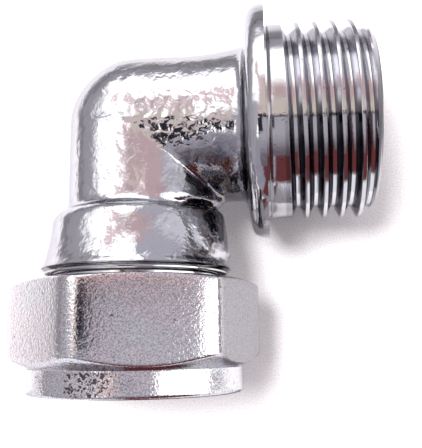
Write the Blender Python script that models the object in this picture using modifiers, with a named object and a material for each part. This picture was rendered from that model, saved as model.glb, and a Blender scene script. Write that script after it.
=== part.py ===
"""Compression elbow, 15 mm tube by G 1/2 male thread: elbow body, compression nut and olive.

Metres, +Z up. The fitting lies on its side. The male thread points along +X, the compression
port along -Y, and their axes cross at CROSSING. The frame's origin is under the middle of the
fitting's bounding box, on the surface that it lies on.
"""

import math

import bmesh
import bpy
from mathutils import Matrix, Vector

MM = 0.001
FULL_TURN = 2 * math.pi

# Driving dimensions. Distances along an arm are counted from where the two axes cross.
TUBE_BORE_RADIUS = 7.55 * MM
MALE_DRILL_RADIUS = 5.6 * MM
PORT_DRILL_RADIUS = 5.3 * MM
DRILL_POINT = math.radians(118)
TUBE_STOP = 10.8 * MM

MALE_PITCH = 1.814 * MM
MALE_CREST_RADIUS = 10.4775 * MM
MALE_ROOT_RADIUS = 9.3155 * MM
MALE_FLANK_ANGLE = math.radians(27.5)
MALE_GROOVE_START = 16.06 * MM
MALE_SHANK_RADIUS = 10.35 * MM
MALE_END = 25.35 * MM
MALE_BORE_RADIUS = 6.9 * MM
MALE_BORE_DEPTH = 12.4 * MM

FLANGE_RADIUS = 12.5 * MM
FLANGE_FACE = 14.3 * MM
FLANGE_RIM = 0.5 * MM
MALE_NECK_RADIUS = 7.6 * MM
PORT_NECK_RADIUS = 7.35 * MM
PORT_FLARE_LEAN = math.radians(11.5)
PORT_FLARE_END = 10.6 * MM
PORT_FLARE_RADIUS = 7.22 * MM
SHOULDER_FILL_LEAN = math.radians(8.5)
SHOULDER_FILL_RADIUS = 7.84 * MM
SHOULDER_FILL_START = 10.9 * MM
SHOULDER_FILL_END = 16.2 * MM
CROTCH_REACH = 12.9 * MM
CROTCH_RADIUS = 3.0 * MM

SHOULDER_RIM = 15.8 * MM
SHOULDER_RIM_RADIUS = 10.1 * MM
SEAT_THROAT = 19.65 * MM
MOUTH = 21.8 * MM

PORT_PITCH = 1.5 * MM
PORT_CREST_RADIUS = 9.9 * MM
PORT_ROOT_RADIUS = 9.05 * MM
PORT_FLANK_ANGLE = math.radians(30)
PORT_GROOVE_START = 16.25 * MM
THREAD_CLEARANCE = 0.1 * MM

NUT_FACE = 17.15 * MM
NUT_HEX_END = 25.85 * MM
NUT_END = 28.4 * MM
NUT_ACROSS_FLATS = 23.6 * MM
NUT_CORNER_ROUND = 2.2 * MM
NUT_COLLAR_RADIUS = 11.2 * MM
NUT_HOLE_RADIUS = 7.7 * MM
NUT_SEAT_THROAT = 26.6 * MM
NUT_MINOR_RADIUS = 9.25 * MM
NUT_MAJOR_RADIUS = 10.1 * MM
NUT_THREAD_TURNS = 5.9
NUT_TURN = math.radians(15)

OLIVE_START = 20.4 * MM
OLIVE_END = 26.2 * MM
OLIVE_TIP_RADIUS = 7.8 * MM
OLIVE_RADIUS = 8.7 * MM
OLIVE_TAPER = 1.9 * MM

SEGMENTS = 48
THREAD_SEGMENTS = 40
THREAD_FADE = 12
MERGE = 0.000001
PAST = 1.0 * MM

# The rounded hexagon sets the box's low X side and both Z sides: corners lie NUT_TURN off those axes.
NUT_REACH = (
    (NUT_ACROSS_FLATS / 2 - NUT_CORNER_ROUND) / math.cos(math.radians(30)) * math.cos(NUT_TURN)
    + NUT_CORNER_ROUND
)
CROSSING = Vector(
    (
        (NUT_REACH - MALE_END) / 2,
        (NUT_END - FLANGE_RADIUS) / 2,
        NUT_REACH,
    )
)
ALONG_MALE_ARM = Matrix.Translation(CROSSING) @ Matrix.Rotation(math.pi / 2, 4, "Y")
ALONG_PORT = Matrix.Translation(CROSSING) @ Matrix.Rotation(math.pi / 2, 4, "X")

CUTTERS = "cutters"
CHROME = ((0.80, 0.80, 0.82), 0.12)
BRASS = ((0.78, 0.60, 0.30), 0.30)


def clear_scene():
    for old in list(bpy.data.objects):
        bpy.data.objects.remove(old)
    for old in list(bpy.data.collections):
        bpy.data.collections.remove(old)


def collection(name):
    made = bpy.data.collections.new(name)
    bpy.context.scene.collection.children.link(made)
    return made


def metal(name, look):
    colour, roughness = look
    material = bpy.data.materials.new(name)
    material.use_nodes = True
    shader = material.node_tree.nodes["Principled BSDF"]
    shader.inputs["Base Color"].default_value = (*colour, 1.0)
    shader.inputs["Metallic"].default_value = 1.0
    shader.inputs["Roughness"].default_value = roughness
    return material


def place(obj, group, matrix):
    """Links obj, and sets it down along an arm: its own Z axis is that arm's axis."""
    group.objects.link(obj)
    obj.matrix_world = matrix
    if group.name == CUTTERS:
        obj.hide_render = True
        obj.display_type = "WIRE"
    return obj


def outline(name, points, closed):
    """An object of edges only, in its own XZ plane: each point is (radius, distance along the arm)."""
    mesh = bpy.data.meshes.new(name)
    count = len(points)
    edges = [(i, (i + 1) % count) for i in range(count if closed else count - 1)]
    mesh.from_pydata([(radius, 0, along) for radius, along in points], edges, [])
    return bpy.data.objects.new(name, mesh)


def turned(name, points, group, matrix, closed=False):
    """A body of revolution. Its profile runs down the outer side, from the far end to the near one."""
    obj = outline(name, points, closed)
    screw = obj.modifiers.new("Turn", "SCREW")
    screw.axis = "Z"
    screw.angle = FULL_TURN
    screw.steps = screw.render_steps = SEGMENTS
    screw.use_merge_vertices = True
    screw.merge_threshold = MERGE
    return place(obj, group, matrix)


def arc(centre_radius, centre_along, radius, start, end, steps):
    """Points of a round in a profile, from one angle to another, in degrees from the radial direction."""
    angles = [math.radians(start + (end - start) * i / steps) for i in range(steps + 1)]
    return [
        (centre_radius + radius * math.cos(a), centre_along + radius * math.sin(a)) for a in angles
    ]


def thread_cutter(name, section, pitch, turns, matrix, inside=False):
    """A helical bar that cuts a right-hand groove, swept from a four-sided section.

    The bar leaves the metal gradually: an outside thread's bar at its start, an inside one's at its end.
    """
    obj = outline(name, section, closed=True)
    screw = obj.modifiers.new("Helix", "SCREW")
    screw.axis = "Z"
    screw.angle = FULL_TURN * turns
    screw.screw_offset = pitch * turns
    screw.steps = screw.render_steps = round(THREAD_SEGMENTS * turns)
    screw.use_merge_vertices = False
    graph = bpy.context.evaluated_depsgraph_get()
    bpy.context.scene.collection.objects.link(obj)
    graph.update()
    swept = bpy.data.meshes.new_from_object(obj.evaluated_get(graph))
    bpy.data.objects.remove(obj)
    radii = [radius for radius, _ in section]
    depth = max(radii) - min(radii)
    last = len(swept.vertices) // len(section) - 1
    for vertex in swept.vertices:
        step = vertex.index // len(section)
        if inside:
            step = last - step
        if step < THREAD_FADE:
            radial = Vector((vertex.co.x, vertex.co.y, 0))
            shift = depth * (1 - step / THREAD_FADE)
            vertex.co += radial.normalized() * (-shift if inside else shift)
    work = bmesh.new()
    work.from_mesh(swept)
    bmesh.ops.remove_doubles(work, verts=work.verts, dist=MERGE)
    bmesh.ops.holes_fill(work, edges=[e for e in work.edges if e.is_boundary])
    bmesh.ops.recalc_face_normals(work, faces=work.faces)
    work.to_mesh(swept)
    work.free()
    return place(bpy.data.objects.new(name, swept), bpy.data.collections[CUTTERS], matrix)


def outer_groove(crest, root, pitch, flank, start):
    """Section of the groove between two ridges of an outside thread, a little proud of the crest."""
    middle = (crest + root) / 2
    proud = crest + 0.15 * MM

    def half_width(radius):
        return pitch / 4 + (radius - middle) * math.tan(flank)

    return [
        (proud, start + half_width(proud)),
        (proud, start - half_width(proud)),
        (root, start - half_width(root)),
        (root, start + half_width(root)),
    ]


def inner_groove(minor, major, pitch, flank, start):
    """Section of a nut's groove: the ridge of the thread that it takes, with clearance on both flanks."""
    middle = (PORT_CREST_RADIUS + PORT_ROOT_RADIUS) / 2
    inside = minor - 0.2 * MM

    def half_width(radius):
        return pitch / 4 - (radius - middle) * math.tan(flank) + THREAD_CLEARANCE

    return [
        (major, start + half_width(major)),
        (major, start - half_width(major)),
        (inside, start - half_width(inside)),
        (inside, start + half_width(inside)),
    ]


def boolean(obj, operation, other):
    modifier = obj.modifiers.new(other.name, "BOOLEAN")
    modifier.operation = operation
    modifier.solver = "EXACT"
    modifier.object = other


def male_arm(group):
    """Neck, flange, plain shank and thread blank of the male end, with a chamfered lead-in."""
    profile = [
        (0, MALE_END),
        (9.25 * MM, MALE_END),
        (MALE_CREST_RADIUS, MALE_END - 0.95 * MM),
        (MALE_CREST_RADIUS, 16.4 * MM),
        (MALE_SHANK_RADIUS, 16.2 * MM),
        (MALE_SHANK_RADIUS, FLANGE_FACE),
        (FLANGE_RADIUS - 0.1 * MM, FLANGE_FACE),
        (FLANGE_RADIUS, FLANGE_FACE - 0.1 * MM),
    ]
    round_over = 1.4 * MM
    rim_back = FLANGE_FACE - FLANGE_RIM
    profile += arc(FLANGE_RADIUS - round_over, rim_back, round_over, 0, -72, 5)
    profile += arc(9.05 * MM, 11.1 * MM, 1.0 * MM, 108, 180, 4)
    profile += [
        (MALE_NECK_RADIUS + 0.31 * MM, 9.9 * MM),
        (MALE_NECK_RADIUS + 0.19 * MM, 9.0 * MM),
        (MALE_NECK_RADIUS + 0.09 * MM, 8.1 * MM),
        (MALE_NECK_RADIUS, 6.8 * MM),
        (MALE_NECK_RADIUS, 0),
        (0, 0),
    ]
    return turned("male_arm", profile, group, ALONG_MALE_ARM)


def port_arm(group):
    """Neck, bell-shaped shoulder, relief groove and thread blank of the compression port."""
    relief_radius = PORT_ROOT_RADIUS - 0.05 * MM
    lead_in = PORT_CREST_RADIUS - PORT_ROOT_RADIUS
    profile = [
        (0, MOUTH),
        (PORT_ROOT_RADIUS + 0.05 * MM, MOUTH),
        (PORT_CREST_RADIUS, MOUTH - lead_in),
        (PORT_CREST_RADIUS, SHOULDER_RIM + 2.1 * MM),
        (relief_radius, SHOULDER_RIM + 1.5 * MM),
        (relief_radius, SHOULDER_RIM + 0.95 * MM),
        (9.65 * MM, SHOULDER_RIM + 0.65 * MM),
        (9.65 * MM, SHOULDER_RIM + 0.45 * MM),
        (SHOULDER_RIM_RADIUS, SHOULDER_RIM + 0.1 * MM),
        (SHOULDER_RIM_RADIUS, SHOULDER_RIM - 0.1 * MM),
        (9.75 * MM, SHOULDER_RIM - 0.5 * MM),
        (9.46 * MM, 14.4 * MM),
        (9.2 * MM, 13.2 * MM),
    ]
    profile += arc(7.5 * MM, 11.3 * MM, 1.5 * MM, 0, -75, 5)
    profile += [
        (PORT_NECK_RADIUS + 0.2 * MM, 9.6 * MM),
        (PORT_NECK_RADIUS, 9.0 * MM),
        (PORT_NECK_RADIUS, 0),
        (0, 0),
    ]
    return turned("elbow_body", profile, group, ALONG_PORT)


def elbow_corner():
    """The round outer corner, which meets both necks: they differ a little in radius."""
    bpy.ops.mesh.primitive_uv_sphere_add(segments=40, ring_count=20, radius=1)
    ball = bpy.context.object
    ball.name = "corner"
    across = (PORT_NECK_RADIUS + MALE_NECK_RADIUS) / 2
    ball.data.transform(
        Matrix.Diagonal((PORT_NECK_RADIUS + 0.02 * MM, across, MALE_NECK_RADIUS + 0.02 * MM, 1))
    )
    for group in list(ball.users_collection):
        group.objects.unlink(ball)
    return place(ball, bpy.data.collections[CUTTERS], ALONG_PORT)


def port_flare(group):
    """A leaning cylinder that thickens the inside of the bend: the port widens towards the male arm."""
    profile = [
        (0, PORT_FLARE_END),
        (PORT_FLARE_RADIUS - 0.6 * MM, PORT_FLARE_END),
        (PORT_FLARE_RADIUS - 0.1 * MM, PORT_FLARE_END - 0.4 * MM),
        (PORT_FLARE_RADIUS, PORT_FLARE_END - 1.0 * MM),
        (PORT_FLARE_RADIUS, 0),
        (0, 0),
    ]
    leaning = Matrix.Rotation(PORT_FLARE_LEAN, 4, "Y")
    return turned("port_flare", profile, group, ALONG_PORT @ leaning)


def shoulder_fill(group):
    """A second leaning cylinder, which fills the shoulder out towards the male arm, down to its rim."""
    edge = 0.4 * MM
    profile = [
        (0, SHOULDER_FILL_END),
        (SHOULDER_FILL_RADIUS - edge, SHOULDER_FILL_END),
        (SHOULDER_FILL_RADIUS, SHOULDER_FILL_END - edge),
        (SHOULDER_FILL_RADIUS, SHOULDER_FILL_START + edge),
        (SHOULDER_FILL_RADIUS - edge, SHOULDER_FILL_START),
        (0, SHOULDER_FILL_START),
    ]
    leaning = Matrix.Rotation(SHOULDER_FILL_LEAN, 4, "Y")
    return turned("shoulder_fill", profile, group, ALONG_PORT @ leaning)


def crotch_web(group):
    """The rounded web that fills the inside of the bend, halfway between the two arms."""
    profile = [
        (0, CROTCH_REACH),
        (CROTCH_RADIUS * 0.45, CROTCH_REACH - 0.2 * MM),
        (CROTCH_RADIUS * 0.8, CROTCH_REACH - 0.9 * MM),
        (CROTCH_RADIUS, CROTCH_REACH - 2.2 * MM),
        (CROTCH_RADIUS, 6.5 * MM),
        (0, 6.5 * MM),
    ]
    halfway = Matrix.Rotation(math.radians(45), 4, "Y")
    return turned("crotch_web", profile, group, ALONG_PORT @ halfway)


def drilled_end(radius):
    """The foot of a drilled hole, a little past where the axes cross, with the drill's point."""
    past = -1.8 * MM
    return [(radius, past), (0, past - radius / math.tan(DRILL_POINT / 2))]


def male_bore(group):
    profile = [
        (0, MALE_END + PAST),
        (MALE_BORE_RADIUS, MALE_END + PAST),
        (MALE_BORE_RADIUS, MALE_BORE_DEPTH),
        (MALE_DRILL_RADIUS, MALE_BORE_DEPTH - 0.8 * MM),
    ]
    profile += drilled_end(MALE_DRILL_RADIUS)
    return turned("male_bore", profile, group, ALONG_MALE_ARM)


def port_bore(group):
    """Conical seat for the olive, tube socket down to the tube stop, and waterway to the corner."""
    past_mouth = 0.5 * MM
    seat_slope = math.tan(math.radians(30))
    profile = [
        (0, MOUTH + past_mouth),
        (TUBE_BORE_RADIUS + (MOUTH + past_mouth - SEAT_THROAT) * seat_slope, MOUTH + past_mouth),
        (TUBE_BORE_RADIUS, SEAT_THROAT),
        (TUBE_BORE_RADIUS, TUBE_STOP),
        (PORT_DRILL_RADIUS, TUBE_STOP),
    ]
    profile += drilled_end(PORT_DRILL_RADIUS)
    return turned("port_bore", profile, group, ALONG_PORT)


def elbow_body(part, cutters):
    body = port_arm(part)
    groove = outer_groove(
        PORT_CREST_RADIUS, PORT_ROOT_RADIUS, PORT_PITCH, PORT_FLANK_ANGLE, PORT_GROOVE_START
    )
    turns = (MOUTH + PAST - PORT_GROOVE_START) / PORT_PITCH
    cutter = thread_cutter("port_groove", groove, PORT_PITCH, turns, ALONG_PORT)
    boolean(body, "DIFFERENCE", cutter)
    male = male_arm(cutters)
    groove = outer_groove(
        MALE_CREST_RADIUS, MALE_ROOT_RADIUS, MALE_PITCH, MALE_FLANK_ANGLE, MALE_GROOVE_START
    )
    turns = (MALE_END + PAST - MALE_GROOVE_START) / MALE_PITCH
    cutter = thread_cutter("male_groove", groove, MALE_PITCH, turns, ALONG_MALE_ARM)
    boolean(male, "DIFFERENCE", cutter)
    boolean(body, "UNION", elbow_corner())
    boolean(body, "UNION", male)
    boolean(body, "UNION", port_flare(cutters))
    boolean(body, "UNION", shoulder_fill(cutters))
    boolean(body, "UNION", crotch_web(cutters))
    boolean(body, "DIFFERENCE", port_bore(cutters))
    boolean(body, "DIFFERENCE", male_bore(cutters))
    return body


def nut_envelope(group):
    """The turned outside that trims the hexagon: a shallow front chamfer, a back cone and the collar."""
    beyond = NUT_ACROSS_FLATS / 2 * 1.3
    front_slope = math.tan(math.radians(12))
    back_slope = math.tan(math.radians(30))
    front_radius = 11.5 * MM
    edge = 0.35 * MM
    profile = [
        (0, NUT_END),
        (NUT_COLLAR_RADIUS - edge, NUT_END),
        (NUT_COLLAR_RADIUS - 0.1 * MM, NUT_END - 0.15 * MM),
        (NUT_COLLAR_RADIUS, NUT_END - edge),
        (NUT_COLLAR_RADIUS, NUT_HEX_END),
        (beyond, NUT_HEX_END - (beyond - NUT_COLLAR_RADIUS) * back_slope),
        (beyond, NUT_FACE + (beyond - front_radius) * front_slope),
        (front_radius, NUT_FACE),
        (0, NUT_FACE),
    ]
    return turned("nut_envelope", profile, group, ALONG_PORT)


def nut_bore(group):
    """From the nut's open end: lead-in, thread bore, conical seat for the olive and tube hole."""
    seat = NUT_SEAT_THROAT - (NUT_MINOR_RADIUS - NUT_HOLE_RADIUS)
    mouth = NUT_MAJOR_RADIUS + 0.15 * MM
    profile = [
        (0, NUT_END + PAST),
        (NUT_HOLE_RADIUS + 0.3 * MM + PAST, NUT_END + PAST),
        (NUT_HOLE_RADIUS, NUT_END - 0.3 * MM),
        (NUT_HOLE_RADIUS, NUT_SEAT_THROAT),
        (NUT_MINOR_RADIUS, seat),
        (NUT_MINOR_RADIUS, NUT_FACE + mouth - NUT_MINOR_RADIUS),
        (mouth + PAST, NUT_FACE - PAST),
        (0, NUT_FACE - PAST),
    ]
    return turned("nut_bore", profile, group, ALONG_PORT)


def compression_nut(part, cutters):
    """Hexagon nut with a round collar. A primitive cylinder has a corner at +Y, 90 degrees from +X."""
    bpy.ops.mesh.primitive_cylinder_add(
        vertices=6,
        radius=NUT_ACROSS_FLATS / 2 / math.cos(math.radians(30)),
        depth=NUT_END - NUT_FACE + 2 * PAST,
    )
    nut = bpy.context.object
    nut.name = "compression_nut"
    middle = Matrix.Translation((0, 0, (NUT_END + NUT_FACE) / 2))
    nut.data.transform(middle @ Matrix.Rotation(math.radians(30) - NUT_TURN, 4, "Z"))
    for group in list(nut.users_collection):
        group.objects.unlink(nut)
    place(nut, part, ALONG_PORT)
    for edge in nut.data.edges:
        low, high = (nut.data.vertices[v].co for v in edge.vertices)
        upright = abs((high - low).normalized().z) > 0.9
        if upright:
            weight(nut.data, edge.index)
    bevel = nut.modifiers.new("Corners", "BEVEL")
    bevel.limit_method = "WEIGHT"
    bevel.width = NUT_CORNER_ROUND * math.tan(math.radians(30))
    bevel.segments = 4
    boolean(nut, "INTERSECT", nut_envelope(cutters))
    boolean(nut, "DIFFERENCE", nut_bore(cutters))
    first_ridge = PORT_GROOVE_START + PORT_PITCH / 2
    groove = inner_groove(
        NUT_MINOR_RADIUS, NUT_MAJOR_RADIUS, PORT_PITCH, PORT_FLANK_ANGLE, first_ridge - PORT_PITCH
    )
    cutter = thread_cutter(
        "nut_groove", groove, PORT_PITCH, NUT_THREAD_TURNS, ALONG_PORT, inside=True
    )
    boolean(nut, "DIFFERENCE", cutter)
    return nut


def weight(mesh, index):
    """Marks an edge for the Bevel modifier."""
    name = "bevel_weight_edge"
    layer = mesh.attributes.get(name) or mesh.attributes.new(name, "FLOAT", "EDGE")
    layer.data[index].value = 1.0


def olive(part):
    """The soft brass ring that is squeezed onto the tube: a barrel with a taper at each end."""
    profile = [
        (OLIVE_TIP_RADIUS, OLIVE_END),
        (OLIVE_RADIUS, OLIVE_END - OLIVE_TAPER),
        (OLIVE_RADIUS, OLIVE_START + OLIVE_TAPER),
        (OLIVE_TIP_RADIUS, OLIVE_START),
        (TUBE_BORE_RADIUS, OLIVE_START),
        (TUBE_BORE_RADIUS, OLIVE_END),
    ]
    return turned("olive", profile, part, ALONG_PORT, closed=True)


def main():
    clear_scene()
    part = collection("compression_elbow")
    cutters = collection(CUTTERS)
    chrome = metal("chrome_plate", CHROME)
    brass = metal("bare_brass", BRASS)
    for piece, material in (
        (elbow_body(part, cutters), chrome),
        (compression_nut(part, cutters), chrome),
        (olive(part), brass),
    ):
        piece.data.materials.append(material)
        piece.data.shade_smooth()


main()
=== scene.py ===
"""Looks of the compression elbow: forged and plated body, machined ends, nut, olive, light and camera."""

import math

import bmesh
import bpy
import numpy as np
from mathutils import Matrix, Vector, noise


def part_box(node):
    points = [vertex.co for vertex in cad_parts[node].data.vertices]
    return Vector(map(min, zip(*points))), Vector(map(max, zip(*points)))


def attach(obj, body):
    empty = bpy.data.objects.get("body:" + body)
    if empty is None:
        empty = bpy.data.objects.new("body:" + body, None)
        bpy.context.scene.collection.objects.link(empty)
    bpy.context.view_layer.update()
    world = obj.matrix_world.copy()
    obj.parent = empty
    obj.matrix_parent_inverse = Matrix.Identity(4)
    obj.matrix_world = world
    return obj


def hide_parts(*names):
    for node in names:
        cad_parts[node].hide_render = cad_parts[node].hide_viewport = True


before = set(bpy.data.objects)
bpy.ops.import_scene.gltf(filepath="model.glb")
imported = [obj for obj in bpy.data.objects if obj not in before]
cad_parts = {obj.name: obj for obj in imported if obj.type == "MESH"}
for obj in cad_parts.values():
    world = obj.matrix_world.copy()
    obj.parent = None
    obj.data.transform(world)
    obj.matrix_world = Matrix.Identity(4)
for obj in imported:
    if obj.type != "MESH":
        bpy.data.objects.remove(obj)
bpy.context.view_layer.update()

MM = 0.001
FULL_TURN = 2 * math.pi

# The arms' axes cross here. The flange is the body's highest point along Y, and centred on Z.
BODY_LOW, BODY_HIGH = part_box("elbow_body")
MALE_END = 25.35
FLANGE_RADIUS = 12.5
CROSSING = Vector(
    (
        BODY_HIGH.x - MALE_END * MM,
        BODY_HIGH.y - FLANGE_RADIUS * MM,
        (BODY_LOW.z + BODY_HIGH.z) / 2,
    )
)
SCALE = Matrix.Scale(MM, 4)
ACROSS = Matrix.Rotation(math.pi / 2, 4, "Y")  # lays a profile's height along the male arm, +X
DOWN = Matrix.Rotation(math.pi / 2, 4, "X")  # lays a profile's height along the port, -Y
ALONG_MALE_ARM = Matrix.Translation(CROSSING) @ ACROSS @ SCALE
ALONG_PORT = Matrix.Translation(CROSSING) @ DOWN @ SCALE

# Sizes below are in millimetres, counted along each arm from the crossing, as in the CAD part.
FLANGE_FACE = 14.3
FLANGE_BACK = 12.6  # about where the neck's fillet turns into the flange
SHANK_RADIUS = 10.35
MALE_CREST, MALE_ROOT, MALE_PITCH, MALE_START = 10.4775, 9.3155, 1.814, 16.06
MALE_BORE, MALE_DRILL = 6.9, 5.6
MALE_NECK, PORT_NECK = 7.6, 7.35
RIM, RIM_RADIUS = 15.8, 10.1
PORT_CREST, PORT_ROOT, PORT_PITCH, PORT_START = 9.9, 9.05, 1.5, 16.25
TUBE_BORE, PORT_DRILL, TUBE_STOP = 7.55, 5.3, 10.8
DRILLED_TO, DRILL_POINT = -1.8, math.tan(math.radians(31))  # both drills run past the crossing
SEAT_THROAT, MOUTH = 19.65, 21.8
NUT_FACE, NUT_HEX_END, NUT_END = 17.15, 25.85, 28.4
NUT_FLAT, NUT_COLLAR, NUT_HOLE = 11.8, 11.2, 7.7
NUT_MINOR, NUT_MAJOR, NUT_THROAT = 9.25, 10.1, 26.6
NUT_TURN = math.radians(15)
TURNED_COLUMNS = 144  # faces round a plain turned piece, and below it round each threaded one
MALE_COLUMNS, PORT_COLUMNS, NUT_COLUMNS = 192, 168, 288
CORNER_FLAT = 0.2  # how much flatter than a ball the outer corner is, at its middle
BEND = Vector((5.0, -0.6, 7.6))  # the forging's skin is at its roughest here
CROTCH = Vector((9.4, -7.2, 3.8))  # the corner where shade is painted on the plating
OLIVE_START, OLIVE_END, OLIVE_RADIUS, OLIVE_TIP, OLIVE_TAPER = 20.4, 26.2, 8.7, 7.8, 1.9


# Mesh helpers


def link(name, mesh):
    obj = bpy.data.objects.new(name, mesh)
    bpy.context.scene.collection.objects.link(obj)
    return obj


def profile_arc(centre, along, radius, start, end, steps):
    angles = np.radians(np.linspace(start, end, steps))
    return [(centre + radius * math.cos(a), along + radius * math.sin(a)) for a in angles]


def grid(name, radii, heights, matrix, closed=True):
    """A skin from two arrays, one row for each profile point and one column for each angle.

    The last column stands at a full turn, so that a helix can join up with its own next turn.
    """
    rows, columns = radii.shape
    angles = np.linspace(0, FULL_TURN, columns)
    points = np.stack(
        [radii * np.cos(angles), radii * np.sin(angles), np.broadcast_to(heights, radii.shape)],
        axis=-1,
    )
    index = np.arange(rows * columns).reshape(rows, columns)
    if closed:
        index = np.vstack([index, index[:1]])
    quads = np.stack(
        [index[:-1, :-1], index[1:, :-1], index[1:, 1:], index[:-1, 1:]], axis=-1
    ).reshape(-1, 4)
    mesh = bpy.data.meshes.new(name)
    mesh.from_pydata(points.reshape(-1, 3).tolist(), [], quads.tolist())
    work = bmesh.new()
    work.from_mesh(mesh)
    bmesh.ops.remove_doubles(work, verts=work.verts, dist=0.0005)
    bmesh.ops.dissolve_degenerate(work, edges=work.edges, dist=0.0005)
    bmesh.ops.recalc_face_normals(work, faces=work.faces)
    work.to_mesh(mesh)
    work.free()
    mesh.transform(matrix)
    return link(name, mesh)


def repeated(profile, columns):
    """The same radius and height at every angle, for each point of a profile."""
    values = np.array(profile, float)
    return np.repeat(values[:, :1], columns, axis=1), np.repeat(values[:, 1:], columns, axis=1)


def turned(name, profile, matrix, closed=False):
    radii, heights = repeated(profile, TURNED_COLUMNS + 1)
    return grid(name, radii, heights, matrix, closed)


# A thread's profile: how far from the groove's middle, in pitches, against the share of its depth.
PROFILE = [(0, 1), (0.095, 0.99), (0.12, 0.93), (0.38, 0.07), (0.405, 0.01), (0.5, 0)]
ROWS = [0, 0.05, 0.095, 0.108, 0.12, 0.14, 0.25, 0.36, 0.38, 0.392, 0.405, 0.45, 0.5]


def thread_depth(distance, pitch):
    """1 at the root and 0 at the crest: straight flanks, and a little rounding at both ends."""
    away, depth = zip(*PROFILE)
    return np.interp(np.abs(distance) / pitch, away, depth)


def thread_rows(low, high, start, pitch, columns):
    """Heights of the rows that follow the helix, held between low and high."""
    angles = np.linspace(0, FULL_TURN, columns + 1)
    shift = pitch * angles / FULL_TURN
    phases = ROWS + [1 - phase for phase in ROWS[-2:0:-1]]
    first = math.floor((low - start) / pitch) - 2
    last = math.ceil((high - start) / pitch) + 1
    tops = [start + (turn + phase) * pitch for turn in range(first, last) for phase in phases]
    return np.clip(np.array(tops)[:, None] + shift, low, high), angles


def groove(heights, angles, start, pitch, fade_in=0.3, fade_out=None):
    """Depth share over the helix. It fades at either end, at a count of turns from the start."""
    turns = (heights - start) / pitch - angles / FULL_TURN
    nearest = np.round(turns)
    travelled = nearest + angles / FULL_TURN
    share = thread_depth((turns - nearest) * pitch, pitch)
    if fade_in is not None:
        share = share * np.clip(travelled / fade_in, 0, 1)
    if fade_out is not None:
        share = share * np.clip((fade_out - travelled) / 0.4, 0, 1)
    return share


def smooth_by_angle(obj, degrees):
    obj.data.shade_smooth()
    obj.data.set_sharp_from_angle(angle=math.radians(degrees))


def apply_modifiers(obj):
    graph = bpy.context.evaluated_depsgraph_get()
    graph.update()
    mesh = bpy.data.meshes.new_from_object(obj.evaluated_get(graph))
    obj.modifiers.clear()
    obj.data = mesh


# The forged skin


def forged_blanks():
    """Overlapping closed solids in millimetres: both arms, the corner, and what thickens the bend.

    Flare and fill swell the port arm on its inner side. Under thickens the neck's lower side, and
    web stands in the corner between the arms.
    """
    male = [(0, 16.2), (FLANGE_RADIUS, 16.2), (FLANGE_RADIUS, 13.9)]
    male += profile_arc(11.1, 13.8, 1.4, 0, -72, 8)
    male += profile_arc(9.05, 11.1, 1.0, 108, 180, 8)
    for along in (10.5, 9.9, 9.3, 8.7, 8.1, 7.5, 6.8):
        male.append((MALE_NECK + 0.5 * ((along - 6.8) / 4.3) ** 1.5, along))
    male += [(MALE_NECK, 0), (0, 0)]
    port = [(0, 17.6), (10.5, 17.6), (10.3, 16.4), (10.1, RIM), (9.75, RIM - 0.5), (9.46, 14.4)]
    port += [(9.2, 13.2)] + profile_arc(7.5, 11.3, 1.5, 0, -75, 8)
    port += [(PORT_NECK + 0.2, 9.6), (PORT_NECK, 9.0), (PORT_NECK, 0), (0, 0)]
    flare = [(0, 10.6), (6.62, 10.6), (7.12, 10.2), (7.22, 9.6), (7.22, 0), (0, 0)]
    fill = [(0, 16.2), (7.44, 16.2), (7.84, 15.8), (7.84, 11.3), (7.44, 10.9), (0, 10.9)]
    under = [(0, 12.6), (7.0, 12.6), (7.3, 12.2), (7.3, 0), (0, 0)]
    web = [(0, 12.9), (1.5, 12.7), (2.4, 12.0), (3.0, 10.7), (3.0, 6.5), (0, 6.5)]

    def leaning(degrees):
        return DOWN @ Matrix.Rotation(math.radians(degrees), 4, "Y")

    solids = [
        turned("male", male, ACROSS),
        turned("under", under, Matrix.Translation((0, -1.15, 0)) @ ACROSS),
        turned("port", port, DOWN),
        turned("flare", flare, leaning(11.5)),
        turned("fill", fill, leaning(8.5)),
        turned("web", web, leaning(45)),
    ]
    bpy.ops.mesh.primitive_uv_sphere_add(segments=96, ring_count=48, radius=1)
    ball = bpy.context.object
    size = (PORT_NECK + 0.02, MALE_NECK + 0.02, (PORT_NECK + MALE_NECK) / 2)
    ball.data.transform(Matrix.Diagonal((*size, 1)))
    return solids + [ball]


def joined(objects):
    work = bmesh.new()
    for obj in objects:
        work.from_mesh(obj.data)
        bpy.data.objects.remove(obj)
    mesh = bpy.data.meshes.new("blank")
    work.to_mesh(mesh)
    work.free()
    return link("blank", mesh)


def hammer(mesh):
    """Low dents and swellings of a forged skin, at two sizes, moved along the normals."""
    count = len(mesh.vertices)
    normals = np.zeros(count * 3)
    mesh.vertices.foreach_get("normal", normals)
    points = np.zeros(count * 3)
    mesh.vertices.foreach_get("co", points)
    points = points.reshape(-1, 3)
    moved = np.zeros(count)
    for i, p in enumerate(points):
        v = Vector(p)
        moved[i] = 0.030 * noise.noise(v * 0.45) + 0.022 * noise.noise(v * 1.1 + Vector((9, 4, 2)))
    # The outer corner is flattened: most at 45 degrees, and not at all at the arms' axes.
    x, y = points[:, 0], points[:, 1]
    away = x * x + y * y + 0.01
    diagonal = (2 * x * y / away) ** 2 * np.minimum(away / 49, 1)
    moved -= CORNER_FLAT * diagonal * ((x < 0) & (y > 0))
    points += normals.reshape(-1, 3) * moved[:, None]
    mesh.vertices.foreach_set("co", points.reshape(-1))
    mesh.update()


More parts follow.
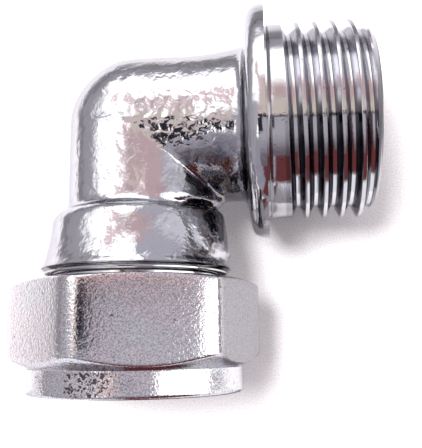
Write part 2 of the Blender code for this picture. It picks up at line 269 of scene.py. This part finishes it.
def machining_cutters():
    """What the lathe takes off the forging, in millimetres: the bores, and all past flange and rim."""
    beyond, wide = 30, 20  # clear of the forging, along an arm and across it
    male = [(0, beyond), (wide, beyond), (wide, FLANGE_FACE), (0, FLANGE_FACE)]
    bore = [
        (0, beyond),
        (MALE_BORE, beyond),
        (MALE_BORE, 12.4),
        (MALE_DRILL, 11.6),
        (MALE_DRILL, DRILLED_TO),
        (0, DRILLED_TO - MALE_DRILL * DRILL_POINT),
    ]
    port = [
        (0, beyond),
        (wide, beyond),
        (wide, RIM + 0.1),
        (RIM_RADIUS + 0.05, RIM + 0.1),
        (RIM_RADIUS - 0.06, RIM + 0.13),
        (9.67, RIM + 0.44),
        (9.65, RIM + 0.47),
        (9.65, RIM + 0.62),
        (9.62, RIM + 0.65),
        (9.05, RIM + 0.9),
        (0, RIM + 0.9),
    ]
    socket = [
        (0, beyond),
        (TUBE_BORE, beyond),
        (TUBE_BORE, TUBE_STOP),
        (PORT_DRILL, TUBE_STOP),
        (PORT_DRILL, DRILLED_TO),
        (0, DRILLED_TO - PORT_DRILL * DRILL_POINT),
    ]
    return [
        turned("cut_male", male, ACROSS),
        turned("cut_bore", bore, ACROSS),
        turned("cut_port", port, DOWN),
        turned("cut_socket", socket, DOWN),
    ]


def machined_faces(mesh):
    """1 for the faces that a tool made: the flange's face, the rim and the bores. 0 for the rest.

    The drills' limits aren't tight. They also take in a round patch of the forging's outer skin on
    either side of its corner, behind the end of each drill.
    """
    centres = np.zeros(len(mesh.polygons) * 3)
    mesh.polygons.foreach_get("center", centres)
    x, y, z = centres.reshape(-1, 3).T
    off_male_axis, off_port_axis = np.hypot(y, z), np.hypot(x, z)
    slack = 0.01
    machined = x > FLANGE_FACE - 0.005
    machined |= -y > RIM + 0.095
    machined |= (x > 11.5) & (off_male_axis < MALE_BORE + slack)
    machined |= (x > -8) & (off_male_axis < MALE_DRILL + slack)
    machined |= (y < 8) & (off_port_axis < PORT_DRILL + slack)
    machined |= (-y > TUBE_STOP - slack) & (off_port_axis < TUBE_BORE + slack)
    return machined.astype(np.int32)


def forged_skin(*materials):
    """The forging: its blanks melted into one skin, dented, then cut where the tools went."""
    blank = joined(forged_blanks())
    remesh = blank.modifiers.new("Remesh", "REMESH")
    remesh.mode = "VOXEL"
    remesh.voxel_size = 0.17
    smooth = blank.modifiers.new("Smooth", "SMOOTH")
    smooth.factor = 0.5
    smooth.iterations = 24
    apply_modifiers(blank)
    hammer(blank.data)
    cutters = machining_cutters()
    for cutter in cutters:
        cut = blank.modifiers.new(cutter.name, "BOOLEAN")
        cut.operation = "DIFFERENCE"
        cut.solver = "MANIFOLD"
        cut.object = cutter
    apply_modifiers(blank)
    for cutter in cutters:
        bpy.data.objects.remove(cutter)
    mesh = blank.data
    mesh.materials.clear()
    for material in materials:
        mesh.materials.append(material)
    mesh.polygons.foreach_set("material_index", machined_faces(mesh))
    smooth_by_angle(blank, 40)
    mesh.transform(Matrix.Translation(CROSSING) @ SCALE)
    blank.name = "forged_elbow"
    return blank


# Machined ends, nut and olive


def male_end():
    """Bore, end face, chamfer, right-hand thread and plain shank, down to the flange."""
    tip_radius, tip = 9.26, MALE_END - 0.09  # where the end face's rounding meets the chamfer
    chamfer = 1.25
    inner = [(MALE_BORE, 14.25), (MALE_BORE, 18), (MALE_BORE, 24.9), (7.25, MALE_END - 0.06)]
    inner += [(7.35, MALE_END), (8.3, MALE_END), (9.12, MALE_END), (9.2, MALE_END - 0.02)]
    inner += [(tip_radius, tip)]
    outer = [(SHANK_RADIUS, 15.25), (SHANK_RADIUS, 14.62)]
    outer += [(SHANK_RADIUS - 0.03, 14.55), (SHANK_RADIUS - 0.12, 14.5), (SHANK_RADIUS - 0.12, 14.25)]
    heights, angles = thread_rows(15.3, tip, MALE_START, MALE_PITCH, MALE_COLUMNS)
    heights = heights[::-1]
    share = groove(heights, angles, MALE_START, MALE_PITCH)
    past_first = heights - MALE_START - MALE_PITCH * angles / FULL_TURN
    crest = np.interp(past_first, [-0.1, 0.1], [SHANK_RADIUS, MALE_CREST])
    envelope = np.minimum(crest, tip_radius + (tip - heights) * chamfer)
    radii = np.minimum(MALE_CREST - share * (MALE_CREST - MALE_ROOT), envelope)
    return sleeve("male_end", inner, radii, heights, outer, ALONG_MALE_ARM)


def sleeve(name, before, radii, heights, after, matrix):
    """A closed sleeve: plain profile points, then a threaded stretch, then plain points again."""
    columns = radii.shape[1]
    before_radii, before_heights = repeated(before, columns)
    after_radii, after_heights = repeated(after, columns)
    return grid(
        name,
        np.vstack([before_radii, radii, after_radii]),
        np.vstack([before_heights, heights, after_heights]),
        matrix,
    )


def port_end():
    """Socket, conical seat, mouth, port thread and relief, down to the rim."""
    seat = math.tan(math.radians(30))
    mouth_radius = TUBE_BORE + (MOUTH - SEAT_THROAT) * seat
    inner = [(TUBE_BORE, RIM + 0.85), (TUBE_BORE, SEAT_THROAT), (mouth_radius, MOUTH)]
    inner += [(PORT_ROOT + 0.05, MOUTH)]
    low, high = RIM + 1.5, MOUTH - 0.02
    heights, angles = thread_rows(low, high, PORT_START, PORT_PITCH, PORT_COLUMNS)
    heights = heights[::-1]
    share = groove(heights, angles, PORT_START, PORT_PITCH, fade_in=None)
    envelope = np.minimum(
        np.interp(heights, [low, low + 0.6], [PORT_ROOT - 0.05, PORT_CREST]),
        PORT_ROOT + 0.07 + (high - heights),
    )
    radii = np.minimum(PORT_CREST - share * (PORT_CREST - PORT_ROOT), envelope)
    outer = [(PORT_ROOT - 0.05, RIM + 1.4), (PORT_ROOT - 0.05, RIM + 0.85)]
    outer += [(TUBE_BORE + 0.4, RIM + 0.85)]
    return sleeve("port_end", inner, radii, heights, outer, ALONG_PORT)


def hexagon(angles):
    """Distance to the nut's flats: the power sum rounds the corners and crowns the flats a little."""
    power = 25
    normals = math.pi / 2 - NUT_TURN + np.arange(6) * math.pi / 3
    reach = np.maximum(np.cos(angles[:, None] - normals[None, :]), 0) ** power
    return NUT_FLAT / reach.sum(axis=1) ** (1 / power)


def nut():
    """Chamfered hexagon, collar, tube hole, olive seat and the thread that fits the port's."""
    angles = np.linspace(0, FULL_TURN, NUT_COLUMNS + 1)
    reach = hexagon(angles)
    front, back = math.tan(math.radians(12)), math.tan(math.radians(30))
    lip = 11.45  # radius at which the front chamfer starts
    crown = 0.02
    top = NUT_FACE + np.maximum(reach - lip, 0) * front
    foot = NUT_HEX_END - (reach - NUT_COLLAR) * back
    rows = []

    def row(radius, height):
        rows.append((np.broadcast_to(radius, reach.shape), np.broadcast_to(height, reach.shape)))

    row(NUT_MAJOR + 0.15, NUT_FACE + 0.02)
    row(NUT_MAJOR + 0.2, NUT_FACE)
    row(10.8, NUT_FACE)
    row(lip - 0.1, NUT_FACE)
    row(np.minimum(lip + 0.1, reach - 0.2), NUT_FACE + 0.03)
    row(reach - 0.16, top - 0.035)
    row(reach - 0.05, top + 0.02)
    row(reach - 0.01, top + 0.1)
    row(reach, top + 0.25)
    for share in np.linspace(0.1, 0.9, 9):
        row(reach + crown * (1 - (2 * share - 1) ** 2), top + (foot - top) * share)
    row(reach, foot - 0.28)
    row(reach - 0.012, foot - 0.12)
    row(reach - 0.06, foot - 0.01)
    row(reach - 0.16, foot + 0.07)
    row((reach + NUT_COLLAR) / 2, NUT_HEX_END - (reach - NUT_COLLAR) / 2 * back)
    row(NUT_COLLAR + 0.12, NUT_HEX_END - 0.07)
    row(NUT_COLLAR + 0.02, NUT_HEX_END + 0.02)
    row(NUT_COLLAR, NUT_HEX_END + 0.15)
    for height in (26.5, 27.2, 27.8):
        row(NUT_COLLAR, height)
    rounding = 0.4
    for point in profile_arc(NUT_COLLAR - rounding, NUT_END - rounding, rounding, 0, 90, 7):
        row(*point)
    row(9.6, NUT_END)
    row(NUT_HOLE + 0.32, NUT_END)
    row(NUT_HOLE, NUT_END - 0.3)
    row(NUT_HOLE, NUT_THROAT)
    seat = NUT_THROAT - (NUT_MINOR - NUT_HOLE)
    row(NUT_MINOR, seat)
    outer_radii = np.array([r for r, _ in rows])
    outer_heights = np.array([h for _, h in rows])
    # Its ridges stand in the port's grooves, half a pitch from the port's crests.
    start = PORT_START + PORT_PITCH / 2 - PORT_PITCH
    low, high = NUT_FACE + 0.05, seat - 0.1
    heights, _ = thread_rows(low, high, start, PORT_PITCH, NUT_COLUMNS)
    heights = heights[::-1]
    share = groove(heights, angles, start, PORT_PITCH, fade_in=None, fade_out=5.9)
    ridge = NUT_MINOR + share * (NUT_MAJOR - NUT_MINOR)
    radii = np.maximum(ridge, NUT_MAJOR + 0.15 - (heights - low) * 1.2)
    return grid(
        "nut_look",
        np.vstack([outer_radii, radii]),
        np.vstack([outer_heights, heights]),
        ALONG_PORT,
    )


def olive():
    profile = [(TUBE_BORE, OLIVE_END - 0.1), (TUBE_BORE + 0.1, OLIVE_END), (OLIVE_TIP - 0.05, OLIVE_END)]
    profile += [(OLIVE_TIP, OLIVE_END - 0.06), (OLIVE_RADIUS - 0.04, OLIVE_END - OLIVE_TAPER + 0.08)]
    profile += [(OLIVE_RADIUS, OLIVE_END - OLIVE_TAPER - 0.08)]
    profile += [(OLIVE_RADIUS, OLIVE_START + OLIVE_TAPER + 0.08)]
    profile += [(OLIVE_RADIUS - 0.04, OLIVE_START + OLIVE_TAPER - 0.08), (OLIVE_TIP, OLIVE_START + 0.06)]
    profile += [(OLIVE_TIP - 0.05, OLIVE_START), (TUBE_BORE + 0.1, OLIVE_START)]
    profile += [(TUBE_BORE, OLIVE_START + 0.1)]
    return turned("olive_look", profile, ALONG_PORT, closed=True)


# Materials


class Nodes:
    """Short names for building a node tree."""

    def __init__(self, tree):
        self.tree = tree

    def add(self, kind, **settings):
        node = self.tree.nodes.new(kind)
        for name, value in settings.items():
            setattr(node, name, value)
        return node

    def join(self, source, target):
        self.tree.links.new(source, target)

    def put(self, socket, value):
        if isinstance(value, bpy.types.NodeSocket):
            self.join(value, socket)
        else:
            socket.default_value = value

    def math(self, operation, *values):
        node = self.add("ShaderNodeMath", operation=operation)
        for socket, value in zip(node.inputs, values):
            self.put(socket, value)
        return node.outputs[0]

    def product(self, first, *others):
        for other in others:
            first = self.math("MULTIPLY", first, other)
        return first

    def split(self, vector):
        node = self.add("ShaderNodeSeparateXYZ")
        self.join(vector, node.inputs[0])
        return node.outputs

    def between(self, operation, vector, point):
        """A vector node that works on a vector and a fixed point."""
        node = self.add("ShaderNodeVectorMath", operation=operation)
        self.join(vector, node.inputs[0])
        node.inputs[1].default_value = point
        return node.outputs

    def distance(self, vector, point):
        return self.between("DISTANCE", vector, point)["Value"]

    def ramp(self, value, low, high, out_low=0.0, out_high=1.0):
        """A smooth step between two limits. Low may be the greater one."""
        node = self.add("ShaderNodeMapRange", interpolation_type="SMOOTHSTEP")
        for socket, item in zip(node.inputs, (value, low, high, out_low, out_high)):
            self.put(socket, item)
        return node.outputs[0]

    def noise(self, vector, scale, detail=2.0, rough=0.5, distort=0.0):
        node = self.add("ShaderNodeTexNoise")
        self.put(node.inputs["Vector"], vector)
        node.inputs["Scale"].default_value = scale
        node.inputs["Detail"].default_value = detail
        node.inputs["Roughness"].default_value = rough
        node.inputs["Distortion"].default_value = distort
        return node.outputs["Fac"]

    def mix(self, factor, first, second, blend="MIX"):
        node = self.add("ShaderNodeMix", data_type="RGBA", blend_type=blend)
        self.put(node.inputs["Factor"], factor)
        colours = [s for s in node.inputs if s.type == "RGBA"]
        self.put(colours[0], first)
        self.put(colours[1], second)
        return [s for s in node.outputs if s.type == "RGBA"][0]

    def bump(self, height, distance):
        node = self.add("ShaderNodeBump")
        node.inputs["Distance"].default_value = distance
        node.inputs["Strength"].default_value = 1.0
        self.join(height, node.inputs["Height"])
        return node.outputs["Normal"]

    def place(self):
        return self.add("ShaderNodeTexCoord").outputs["Object"]


def metal(name, edge=(0.62, 0.62, 0.64, 1)):
    """A metal's material. Edge is its tint at a grazing angle. The caller gives it a base colour."""
    material = bpy.data.materials.new(name)
    material.use_nodes = True
    n = Nodes(material.node_tree)
    shader = material.node_tree.nodes["Principled BSDF"]
    shader.inputs["Metallic"].default_value = 1.0
    shader.inputs["Specular Tint"].default_value = edge
    return material, n, shader, n.place()


# Base colours
CHROME_CLEAN, CHROME_STAINED = (0.57, 0.57, 0.59, 1), (0.50, 0.50, 0.53, 1)
# Painted shade for the crotch, in grey and brown.
CROTCH_SHADE_GREY, CROTCH_SHADE_BROWN = (0.26, 0.265, 0.30, 1), (0.27, 0.235, 0.215, 1)
CHROME_TURNED, CHROME_SPECK = (0.56, 0.56, 0.57, 1), (0.10, 0.10, 0.11, 1)
# Painted shade and painted light for the thread flanks.
FLANK_PAINTED_SHADE, FLANK_PAINTED_LIGHT = (0.20, 0.20, 0.22, 1), (0.76, 0.76, 0.79, 1)
NUT_PINKISH, NUT_BLUISH = (0.83, 0.78, 0.785, 1), (0.79, 0.80, 0.81, 1)
NUT_GRAIN, NUT_PIT = (0.47, 0.46, 0.475, 1), (0.10, 0.095, 0.11, 1)
# Painted shade for the nut's face towards +X.
NUT_SHADED_GRAIN, NUT_SHADED_FACE = (0.20, 0.197, 0.205, 1), (0.37, 0.365, 0.375, 1)
BRASS = (0.80, 0.58, 0.27, 1)


def forged_chrome():
    """Plating over a forged skin: ripples at two sizes, fainter on the flange, painted shade in the
    crotch.
    """
    material, n, shader, place = metal("forged_chrome")
    fine = n.noise(place, 3600, 2.0, 0.5, 0.2)
    broad = n.noise(place, 1250, 1.5, 0.45, 0.4)
    # Near the bend the broad ripple is deeper and the fine one shallower.
    near = n.ramp(n.distance(place, CROSSING + BEND * MM), 2.5 * MM, 6.0 * MM, 1.0, 0.0)
    fine = n.math("MULTIPLY", fine, n.ramp(near, 0, 1, 0.30, 0.12))
    height = n.math("ADD", fine, n.math("MULTIPLY", broad, n.ramp(near, 0, 1, 1.0, 2.1)))
    flange = CROSSING.x + FLANGE_BACK * MM
    share = n.ramp(n.split(place)[0], flange - 0.4 * MM, flange + 0.4 * MM, 1.0, 0.3)
    n.join(n.bump(n.math("MULTIPLY", height, share), 0.054 * MM), shader.inputs["Normal"])
    n.join(n.ramp(n.noise(place, 400, 3.0), 0.35, 0.7, 0.06, 0.13), shader.inputs["Roughness"])
    stain = n.ramp(n.noise(place, 600, 3.0, 0.6), 0.5, 0.75)
    colour = n.mix(stain, CHROME_CLEAN, CHROME_STAINED)
    # The painted shade thins out from the crotch, with an edge that the broad ripple breaks up.
    off_crotch = n.distance(place, CROSSING + CROTCH * MM)
    reach = n.math("ADD", off_crotch, n.math("MULTIPLY", broad, 3 * MM))
    crotch_shade = n.ramp(reach, 4.2 * MM, 7.6 * MM, 1.0, 0.0)
    brown = n.ramp(n.noise(place, 700, 3.0, 0.6), 0.47, 0.60)
    crotch_shade_colour = n.mix(brown, CROTCH_SHADE_GREY, CROTCH_SHADE_BROWN)
    n.join(n.mix(crotch_shade, colour, crotch_shade_colour), shader.inputs["Base Color"])
    return material


def turned_chrome(name, axis):
    """Machined and plated: bright, with fine lines round the axis that the tool turned it on."""
    material, n, shader, place = metal(name)
    shader.inputs["Base Color"].default_value = CHROME_TURNED
    along = n.add("ShaderNodeCombineXYZ")
    n.join(n.split(place)[axis], along.inputs[0])
    lines = n.noise(along.outputs[0], 7000, 3.0, 0.7)
    speck = n.noise(place, 3500, 2.0, 0.6)
    height = n.math("ADD", n.math("MULTIPLY", lines, 0.35), speck)
    n.join(n.bump(height, 0.006 * MM), shader.inputs["Normal"])
    n.join(n.ramp(n.noise(place, 700, 2.0), 0.3, 0.7, 0.06, 0.13), shader.inputs["Roughness"])
    return material, n, shader, place


def male_chrome():
    """Turned plating with dark specks, painted shade on thread flanks towards the compression arm, and
    painted light on those away from it.
    """
    material, n, shader, place = turned_chrome("male_chrome", 0)
    x, y, z = n.split(n.between("SUBTRACT", place, CROSSING)["Vector"])
    radius = n.math("SQRT", n.math("ADD", n.math("MULTIPLY", y, y), n.math("MULTIPLY", z, z)))
    flank = n.math(
        "MULTIPLY",
        n.ramp(radius, (MALE_ROOT + 0.03) * MM, (MALE_ROOT + 0.2) * MM),
        n.ramp(radius, (MALE_CREST - 0.2) * MM, (MALE_CREST - 0.03) * MM, 1.0, 0.0),
    )
    threaded = n.math("MULTIPLY", flank, n.ramp(x, 15.9 * MM, 16.2 * MM))
    # Painted light and shade on the flanks: dark towards -Y, brighter than the plating towards +Y.
    side = n.mix(n.ramp(y, -6 * MM, 2 * MM), FLANK_PAINTED_SHADE, FLANK_PAINTED_LIGHT)
    specks = n.ramp(n.noise(place, 2300, 2.0, 0.6), 0.69, 0.73)
    plating = n.mix(specks, CHROME_TURNED, CHROME_SPECK)
    n.join(n.mix(threaded, plating, side), shader.inputs["Base Color"])
    return material


def nut_chrome():
    """Plating over a drawn and tumbled bar: a sandy grain, small pits, dents along the collar, and
    painted shade on the face towards +X.
    """
    material, n, shader, place = metal("nut_chrome", (0.7, 0.7, 0.72, 1))
    grain = n.noise(place, 6500, 2.0, 0.6)
    middle = n.noise(place, 2600, 1.5, 0.5, 0.5)
    x, y, z = n.split(place)
    centre = CROSSING.x
    collar_start = CROSSING.y - (NUT_HEX_END - 0.1) * MM
    end_face = CROSSING.y - (NUT_END - 0.1) * MM
    # Pits are few over most of the nut, and crowd together on a stretch along the collar's top.
    dented = n.product(
        n.ramp(y, collar_start - 0.4 * MM, collar_start, 1.0, 0.0),
        n.ramp(z, CROSSING.z + 8.6 * MM, CROSSING.z + 9.2 * MM),
        n.ramp(y, end_face, end_face + 0.2 * MM),
        n.ramp(x, centre - 5.0 * MM, centre - 4.2 * MM),
        n.ramp(x, centre, centre + 1.2 * MM, 1.0, 0.0),
    )
    limit = n.math("ADD", n.math("MULTIPLY", dented, 0.21), 0.27)
    commas = n.noise(place, 3000, 1.0, 0.5, 0.8)
    pits = n.ramp(n.math("SUBTRACT", limit, commas), 0.0, 0.05)
    height = n.math("ADD", n.math("MULTIPLY", grain, 0.45), middle)
    height = n.math("SUBTRACT", height, n.math("MULTIPLY", pits, 0.7))
    n.join(n.bump(height, 0.027 * MM), shader.inputs["Normal"])
    n.join(n.ramp(n.noise(place, 900, 2.0), 0.3, 0.7, 0.07, 0.13), shader.inputs["Roughness"])
    sand = n.ramp(n.noise(place, 6500, 3.0, 0.75), 0.38, 0.60)
    tint = n.ramp(n.noise(place, 240, 2.0), 0.42, 0.58)
    colour = n.mix(sand, NUT_GRAIN, n.mix(tint, NUT_PINKISH, NUT_BLUISH))
    # Painted shade: the face towards +X is darker and duller than the others. The collar isn't.
    painted_face_shade = n.math(
        "MULTIPLY",
        n.ramp(x, centre + 9.4 * MM, centre + 10.0 * MM),
        n.ramp(y, collar_start, collar_start + 0.2 * MM),
    )
    colour = n.mix(painted_face_shade, colour, n.mix(sand, NUT_SHADED_GRAIN, NUT_SHADED_FACE))
    n.join(n.mix(pits, colour, NUT_PIT), shader.inputs["Base Color"])
    return material


def brass():
    material, n, shader, place = metal("olive_brass")
    shader.inputs["Base Color"].default_value = BRASS
    n.join(n.bump(n.noise(place, 2500, 2.0), 0.008 * MM), shader.inputs["Normal"])
    n.join(n.ramp(n.noise(place, 600, 2.0), 0.3, 0.7, 0.18, 0.34), shader.inputs["Roughness"])
    return material


# Surroundings

PLATING = 0.56  # share of the light that the chrome sends back
DEGREES = 180 / math.pi


def linear(red, green, blue, strength=1.0):
    """Light to give for a display colour of 0 to 255, once the plating has taken its share."""
    values = []
    for value in (red, green, blue):
        value /= 255
        flat = value / 12.92 if value <= 0.04045 else ((value + 0.055) / 1.055) ** 2.4
        values.append(flat * strength / PLATING)
    return (*values, 1)


class Sky:
    """A room painted on the world by direction. Azimuth 0 is +X, 90 is +Y; elevation 90 is overhead."""

    def __init__(self, stops):
        """Stops are the base colours by elevation, from the lowest."""
        world = bpy.data.worlds.new("studio")
        bpy.context.scene.world = world
        world.use_nodes = True
        n = self.n = Nodes(world.node_tree)
        self.x, self.y, z = n.split(n.add("ShaderNodeTexCoord").outputs["Generated"])
        self.elevation = n.math("MULTIPLY", n.math("ARCSINE", z), DEGREES)
        self.background = world.node_tree.nodes["Background"]
        self.colour = stops[0][1]
        for (low, _), (high, after) in zip(stops, stops[1:]):
            self.colour = n.mix(n.ramp(self.elevation, low, high), self.colour, after)

    def azimuth_from(self, azimuth):
        """How many degrees a direction lies past an azimuth, counted from +X towards +Y."""
        c, s = math.cos(math.radians(azimuth)), math.sin(math.radians(azimuth))
        n = self.n
        along = n.math("ADD", n.math("MULTIPLY", self.x, c), n.math("MULTIPLY", self.y, s))
        side = n.math("SUBTRACT", n.math("MULTIPLY", self.y, c), n.math("MULTIPLY", self.x, s))
        return n.math("MULTIPLY", n.math("ARCTAN2", side, along), DEGREES)

    def window(self, azimuth, half, soft, low, high, soft_low, soft_high, colour, share=1.0):
        """A patch between elevations low and high, half degrees to each side of an azimuth.

        The soft widths are its fading edges: at both sides, below and above. All are in degrees.
        """
        n = self.n
        off = n.math("ABSOLUTE", self.azimuth_from(azimuth))
        inside = n.ramp(off, half, half + soft, share, 0.0)
        bottom = n.ramp(self.elevation, low - soft_low, low)
        top = n.ramp(self.elevation, high, high + soft_high, 1.0, 0.0)
        self.colour = n.mix(n.product(inside, bottom, top), self.colour, colour)

    def done(self):
        self.n.join(self.colour, self.background.inputs["Color"])


def surroundings():
    sky = Sky(
        [
            (0, linear(146, 143, 150)),
            (20, linear(150, 147, 154)),
            (58, linear(165, 162, 170)),
            (72, linear(196, 180, 178)),
            (90, linear(190, 180, 172)),
        ]
    )
    # Between +X and +Y: a grey wall with a pink ceiling over it, then a paler strip of wall.
    sky.window(46, 36, 10, 8, 52, 10, 12, linear(163, 162, 171))
    sky.window(56, 34, 14, 57, 77, 8, 6, linear(180, 157, 160))
    sky.window(17, 12, 8, 0, 56, 6, 10, linear(190, 189, 196))
    # The brightest window, beyond +X.
    sky.window(-7, 14, 9, -6, 62, 8, 12, linear(255, 255, 255, 1.5))
    # Two more windows beyond +Y and -X, with a pink strip between them.
    sky.window(146, 15, 15, 40, 68, 22, 14, linear(252, 252, 253, 1.25))
    sky.window(104, 18, 12, 22, 50, 12, 20, linear(255, 253, 255, 1.35))
    sky.window(123, 8, 5, 46, 74, 6, 6, linear(208, 184, 186), 0.9)
    # The side beyond -Y is in shade: dark wood, redder low down, then grey wall and a small lamp.
    sky.window(-80, 48, 14, 4, 74, 6, 6, linear(72, 46, 49))
    sky.window(-77, 16, 3, 1, 30, 2, 8, linear(94, 48, 50))
    sky.window(-119, 21, 4, 8, 60, 8, 8, linear(140, 137, 147))
    sky.window(-138, 7, 6, 50, 62, 5, 5, linear(255, 253, 250, 1.2))
    sky.done()


def reflected(name, corners, height):
    """A flat card in millimetres from the crossing, which only reflections see."""
    work = bmesh.new()
    work.faces.new([work.verts.new((x, y, height)) for x, y in corners])
    mesh = bpy.data.meshes.new(name)
    work.to_mesh(mesh)
    work.free()
    card = link(name, mesh)
    card.matrix_world = Matrix.Translation(CROSSING) @ SCALE
    card.visible_camera = False
    card.visible_diffuse = False
    card.visible_shadow = False
    card.visible_transmission = False
    return card


def glow(card):
    """A plain emission material: its nodes, and the emission node to colour."""
    material = bpy.data.materials.new(card.name)
    material.use_nodes = True
    n = Nodes(material.node_tree)
    material.node_tree.nodes.remove(material.node_tree.nodes["Principled BSDF"])
    emission = n.add("ShaderNodeEmission")
    n.join(emission.outputs[0], material.node_tree.nodes["Material Output"].inputs["Surface"])
    card.data.materials.append(material)
    return n, emission


def flag():
    """A dark card over the object, where a photographer would lean in. It glows with painted colours, a
    painted reflection of a card in shade, and only the plating shows it.
    """
    left, right, near, far, height = -9, 37, -11, -84, 60
    card = reflected("flag", [(left, near), (left, far), (right, far), (right, near)], height)
    n, emission = glow(card)
    x, y, _ = n.split(n.place())
    black = linear(34, 34, 44)
    colour = n.mix(n.ramp(y, -28, -74), linear(160, 156, 165), linear(98, 90, 98))
    # Towards the object it is black: its left part, and a strip along the whole edge.
    patch = n.math("MULTIPLY", n.ramp(x, 7.5, 9.0, 1.0, 0.0), n.ramp(y, -27, -25))
    colour = n.mix(patch, colour, black)
    colour = n.mix(n.ramp(y, near - 2.8, near - 2.0), colour, linear(34, 32, 40))
    n.join(colour, emission.inputs["Color"])


def wood():
    """A board on the table beyond -Y, past the edge of the paper. It glows with painted colours, a
    painted reflection of the board, and only the plating shows it.
    """
    near, far, half, height = -31, -400, 200, 0.1
    corners = [(-half, near), (half, near), (half, far), (-half, far)]
    board = reflected("wood", corners, height - CROSSING.z / MM)
    n, emission = glow(board)
    x = n.split(n.place())[0]
    # From left to right it is pale, dark red, grey and pale again.
    pale = linear(222, 220, 227)
    colour = n.mix(n.ramp(x, -14, -9), pale, linear(84, 47, 49))
    colour = n.mix(n.ramp(x, 6, 12), colour, linear(138, 133, 140))
    colour = n.mix(n.ramp(x, 17, 21), colour, pale)
    n.join(colour, emission.inputs["Color"])


def floor():
    """A pale table with a painted pool of light: it greys away from the light, so that the plating has
    darker ground to reflect.
    """
    bpy.ops.mesh.primitive_grid_add(x_subdivisions=2, y_subdivisions=2, size=1.2)
    plane = bpy.context.object
    plane.name = "floor"
    plane.location = (0, 0, -0.02 * MM)
    material = bpy.data.materials.new("table")
    material.use_nodes = True
    n = Nodes(material.node_tree)
    shader = material.node_tree.nodes["Principled BSDF"]
    shader.inputs["Roughness"].default_value = 0.9
    place = n.place()
    pale, painted_dim_ground = (0.88, 0.87, 0.885, 1), (0.20, 0.193, 0.205, 1)
    # Painted pool of light: pale near a point 12 mm to -X, grey farther out.
    away = n.distance(place, (-12 * MM, 0, 0))
    colour = n.mix(n.ramp(away, 38 * MM, 92 * MM), pale, painted_dim_ground)
    grain = n.ramp(n.noise(place, 5500, 2.0, 0.7), 0.3, 0.6)
    shade = n.mix(grain, (0.80, 0.80, 0.80, 1), (1, 1, 1, 1))
    n.join(n.mix(1.0, colour, shade, "MULTIPLY"), shader.inputs["Base Color"])
    n.join(n.bump(n.noise(place, 900, 2.0), 0.04 * MM), shader.inputs["Normal"])
    plane.data.materials.append(material)


def key_light():
    """A soft lamp to the upper left. It lights the table and doesn't show in the plating."""
    data = bpy.data.lights.new("key", "AREA")
    data.shape = "DISK"
    data.size = 100 * MM
    data.energy = 1.2
    data.color = (1.0, 0.985, 0.99)
    lamp = link("key", data)
    lamp.location = (-66 * MM, 20 * MM, 280 * MM)
    lamp.rotation_euler = (-lamp.location).to_track_quat("-Z", "Y").to_euler()
    lamp.visible_glossy = False
    lamp.visible_camera = False


def camera():
    """Close over the object, leaning a little from straight down. Fitted to the object's outline."""
    data = bpy.data.cameras.new("camera")
    obj = link("camera", data)
    data.sensor_width = 36
    data.lens = 53.34
    data.clip_start = MM
    lean_x, lean_y, roll = 0.1769, 0.0937, -0.0132
    turn = (
        Matrix.Rotation(roll, 4, "Z")
        @ Matrix.Rotation(lean_y, 4, "Y")
        @ Matrix.Rotation(lean_x, 4, "X")
    )
    offset = Vector((14.44, -23.59, 69.74)) * MM
    obj.matrix_world = Matrix.Translation(CROSSING + offset) @ turn
    bpy.context.scene.camera = obj


def main():
    camera()
    male_look = male_chrome()
    forged = forged_skin(forged_chrome(), male_look)
    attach(forged, "elbow")
    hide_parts("elbow_body")
    port_look = turned_chrome("port_chrome", 1)[0]
    for piece, look in ((male_end(), male_look), (port_end(), port_look)):
        smooth_by_angle(piece, 32)
        piece.data.materials.append(look)
        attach(piece, "elbow")
    nut_piece = nut()
    smooth_by_angle(nut_piece, 32)
    nut_piece.data.materials.append(nut_chrome())
    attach(nut_piece, "nut")
    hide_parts("compression_nut")
    olive_piece = olive()
    smooth_by_angle(olive_piece, 25)
    olive_piece.data.materials.append(brass())
    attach(olive_piece, "olive")
    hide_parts("olive")
    floor()
    key_light()
    surroundings()
    flag()
    wood()
    view = bpy.context.scene.view_settings
    view.view_transform = "Standard"
    view.look = "None"


main()
